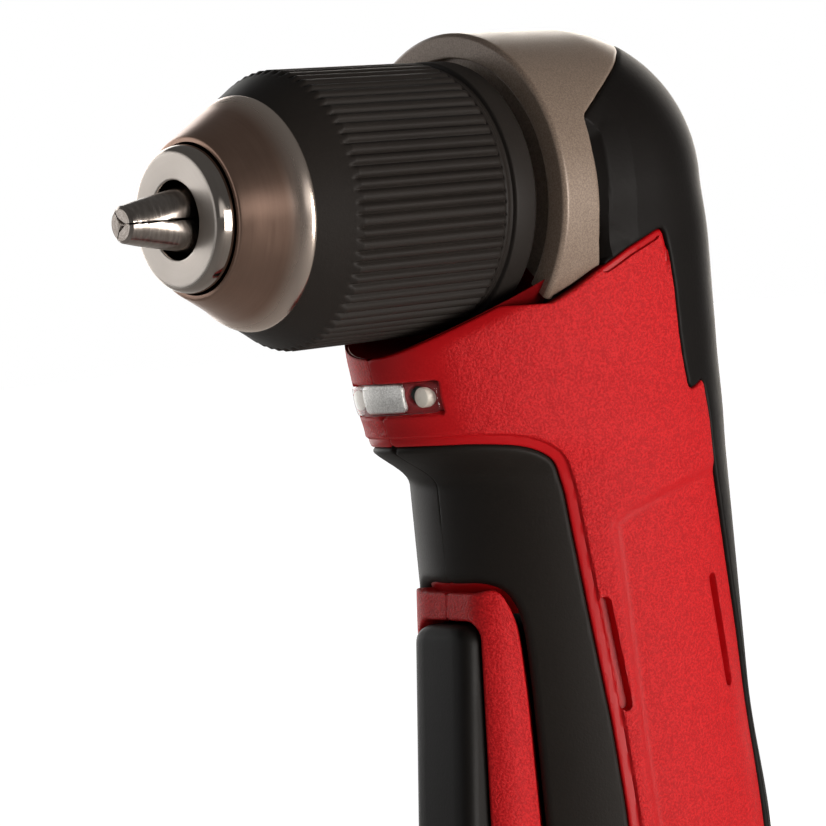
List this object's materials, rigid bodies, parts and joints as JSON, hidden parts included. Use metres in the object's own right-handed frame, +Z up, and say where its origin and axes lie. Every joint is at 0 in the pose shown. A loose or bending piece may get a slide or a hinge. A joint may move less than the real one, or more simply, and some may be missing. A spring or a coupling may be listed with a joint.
{
  "type": "right angle drill",
  "caption": "Compact battery right angle drill with a keyless chuck across the top of an upright grip, paddle switch, chin light and slide-in battery.",
  "frame": {"origin": "centre of the battery's flat base on the handle axis", "axes": "+Z up the handle, chuck points along -Y, +X is the tool's left side"},
  "size_m": [0.046, 0.1004, 0.279],
  "materials": {
    "red_plastic": "spark-eroded grain",
    "soft_rubber": "soft matte overmould",
    "case_grey": "fine metallic paint on die casting",
    "clear_lens": "frosted clear",
    "led_yellow": "clear dome",
    "board_green": "circuit board",
    "steel": "ground",
    "can_steel": "plated",
    "black_plastic": "fine texture",
    "dark_screw": "black oxide",
    "polished_steel": "polished",
    "bronze_steel": "turned, dark nickel",
    "copper": "bare",
    "cell_wrap": "shrink wrap"
  },
  "bodies": {
    "housing": {"housing_left": "red_plastic", "housing_right": "red_plastic", "strap_left": "soft_rubber", "strap_right": "soft_rubber", "grip_left": "soft_rubber", "grip_right": "soft_rubber", "gear_case": "case_grey", "led_lens": "clear_lens", "leds": "led_yellow", "led_board": "board_green", "front_bearing": "steel", "rear_bearing": "steel", "pinion_bearing": "steel", "ring_gear": "steel", "gearbox_plate": "steel", "motor_can": "can_steel", "motor_magnets": "can_steel", "motor_cap": "black_plastic", "switch_module": "black_plastic", "terminal_block": "black_plastic", "housing_screws": "dark_screw", "case_screw": "dark_screw", "paddle_pin": "steel"},
    "spindle_set": {"spindle": "steel", "bevel_gear": "steel", "chuck_body": "polished_steel", "chuck_screw": "dark_screw"},
    "sleeve_set": {"chuck_sleeve": "black_plastic", "chuck_cone": "bronze_steel", "chuck_nut": "steel"},
    "jaw_a_body": {"jaw_a": "steel"},
    "jaw_b_body": {"jaw_b": "steel"},
    "jaw_c_body": {"jaw_c": "steel"},
    "output_set": {"bevel_pinion": "steel", "carrier_b": "steel"},
    "planet_b_one_body": {"planet_b_one": "steel"},
    "planet_b_two_body": {"planet_b_two": "steel"},
    "planet_b_three_body": {"planet_b_three": "steel"},
    "mid_set": {"carrier_a": "steel"},
    "planet_a_one_body": {"planet_a_one": "steel"},
    "planet_a_two_body": {"planet_a_two": "steel"},
    "planet_a_three_body": {"planet_a_three": "steel"},
    "armature": {"motor_shaft": "steel", "motor_core": "can_steel", "commutator": "copper", "motor_fan": "black_plastic", "motor_pinion": "steel"},
    "paddle_body": {"paddle": "black_plastic"},
    "plunger_body": {"plunger": "black_plastic"},
    "selector_body": {"selector": "black_plastic"},
    "battery": {"battery_case": "black_plastic", "battery_cells": "cell_wrap", "battery_contacts": "copper"},
    "latch_left_body": {"latch_left": "black_plastic"},
    "latch_right_body": {"latch_right": "black_plastic"}
  },
  "joints": [
    {"name": "chuck_spin", "type": "hinge", "parent": "housing", "child": "spindle_set", "pos_m": [0, 0, 0.2565], "axis": [0, -1, 0], "continuous": true},
    {"name": "output_spin", "type": "hinge", "parent": "housing", "child": "output_set", "pos_m": [0, 0, 0.2365], "axis": [0, 0, 1], "continuous": true},
    {"name": "mid_spin", "type": "hinge", "parent": "housing", "child": "mid_set", "pos_m": [0, 0, 0.2235], "axis": [0, 0, 1], "continuous": true},
    {"name": "motor_spin", "type": "hinge", "parent": "housing", "child": "armature", "pos_m": [0, 0, 0.1865], "axis": [0, 0, 1], "continuous": true},
    {"name": "planet_b_one_spin", "type": "hinge", "parent": "output_set", "child": "planet_b_one_body", "pos_m": [0.0099, 0, 0.2279], "axis": [0, 0, 1], "continuous": true},
    {"name": "planet_b_two_spin", "type": "hinge", "parent": "output_set", "child": "planet_b_two_body", "pos_m": [-0.00495, 0.00857, 0.2279], "axis": [0, 0, 1], "continuous": true},
    {"name": "planet_b_three_spin", "type": "hinge", "parent": "output_set", "child": "planet_b_three_body", "pos_m": [-0.00495, -0.00857, 0.2279], "axis": [0, 0, 1], "continuous": true},
    {"name": "planet_a_one_spin", "type": "hinge", "parent": "mid_set", "child": "planet_a_one_body", "pos_m": [0.009, 0, 0.2186], "axis": [0, 0, 1], "continuous": true},
    {"name": "planet_a_two_spin", "type": "hinge", "parent": "mid_set", "child": "planet_a_two_body", "pos_m": [-0.0045, 0.00779, 0.2186], "axis": [0, 0, 1], "continuous": true},
    {"name": "planet_a_three_spin", "type": "hinge", "parent": "mid_set", "child": "planet_a_three_body", "pos_m": [-0.0045, -0.00779, 0.2186], "axis": [0, 0, 1], "continuous": true},
    {"name": "sleeve_turn", "type": "hinge", "parent": "spindle_set", "child": "sleeve_set", "pos_m": [0, 0, 0.2565], "axis": [0, -1, 0], "range_deg": [0, 2160]},
    {"name": "jaw_a_slide", "type": "slide", "parent": "spindle_set", "child": "jaw_a_body", "axis": [0.1125, 0.9744, 0.1948], "range_m": [0, 0.0223]},
    {"name": "jaw_b_slide", "type": "slide", "parent": "spindle_set", "child": "jaw_b_body", "axis": [-0.225, 0.9744, 0], "range_m": [0, 0.0223]},
    {"name": "jaw_c_slide", "type": "slide", "parent": "spindle_set", "child": "jaw_c_body", "axis": [0.1125, 0.9744, -0.1948], "range_m": [0, 0.0223]},
    {"name": "paddle_pull", "type": "hinge", "parent": "housing", "child": "paddle_body", "pos_m": [0, -0.0205, 0.1931], "axis": [1, 0, 0], "range_deg": [0, 4.5], "stiffness_Nm_per_rad": 4, "springref_deg": -2.86},
    {"name": "plunger_press", "type": "slide", "parent": "housing", "child": "plunger_body", "axis": [0, 1, 0], "range_m": [0, 0.0056]},
    {"name": "selector_slide", "type": "slide", "parent": "housing", "child": "selector_body", "axis": [1, 0, 0], "range_m": [-0.003, 0.003]},
    {"name": "battery_slide", "type": "slide", "parent": "housing", "child": "battery", "axis": [0, 0, -1], "range_m": [0, 0.1]},
    {"name": "latch_left_press", "type": "slide", "parent": "battery", "child": "latch_left_body", "axis": [-1, 0, 0], "range_m": [0, 0.002], "stiffness_N_per_m": 1500, "springref_m": -0.001},
    {"name": "latch_right_press", "type": "slide", "parent": "battery", "child": "latch_right_body", "axis": [1, 0, 0], "range_m": [0, 0.002], "stiffness_N_per_m": 1500, "springref_m": -0.001}
  ],
  "couplings": [
    {"joint": "output_spin", "follows": "chuck_spin", "ratio": 1.4286},
    {"joint": "mid_spin", "follows": "chuck_spin", "ratio": 5.2381},
    {"joint": "motor_spin", "follows": "chuck_spin", "ratio": 26.19},
    {"joint": "planet_b_one_spin", "follows": "chuck_spin", "ratio": -4.5714},
    {"joint": "planet_b_two_spin", "follows": "chuck_spin", "ratio": -4.5714},
    {"joint": "planet_b_three_spin", "follows": "chuck_spin", "ratio": -4.5714},
    {"joint": "planet_a_one_spin", "follows": "chuck_spin", "ratio": -13.968},
    {"joint": "planet_a_two_spin", "follows": "chuck_spin", "ratio": -13.968},
    {"joint": "planet_a_three_spin", "follows": "chuck_spin", "ratio": -13.968},
    {"joint": "jaw_a_slide", "follows": "sleeve_turn", "m_per_rad": 0.00058887},
    {"joint": "jaw_b_slide", "follows": "sleeve_turn", "m_per_rad": 0.00058887},
    {"joint": "jaw_c_slide", "follows": "sleeve_turn", "m_per_rad": 0.00058887},
    {"joint": "plunger_press", "follows": "paddle_pull", "m_per_rad": 0.0708}
  ]
}
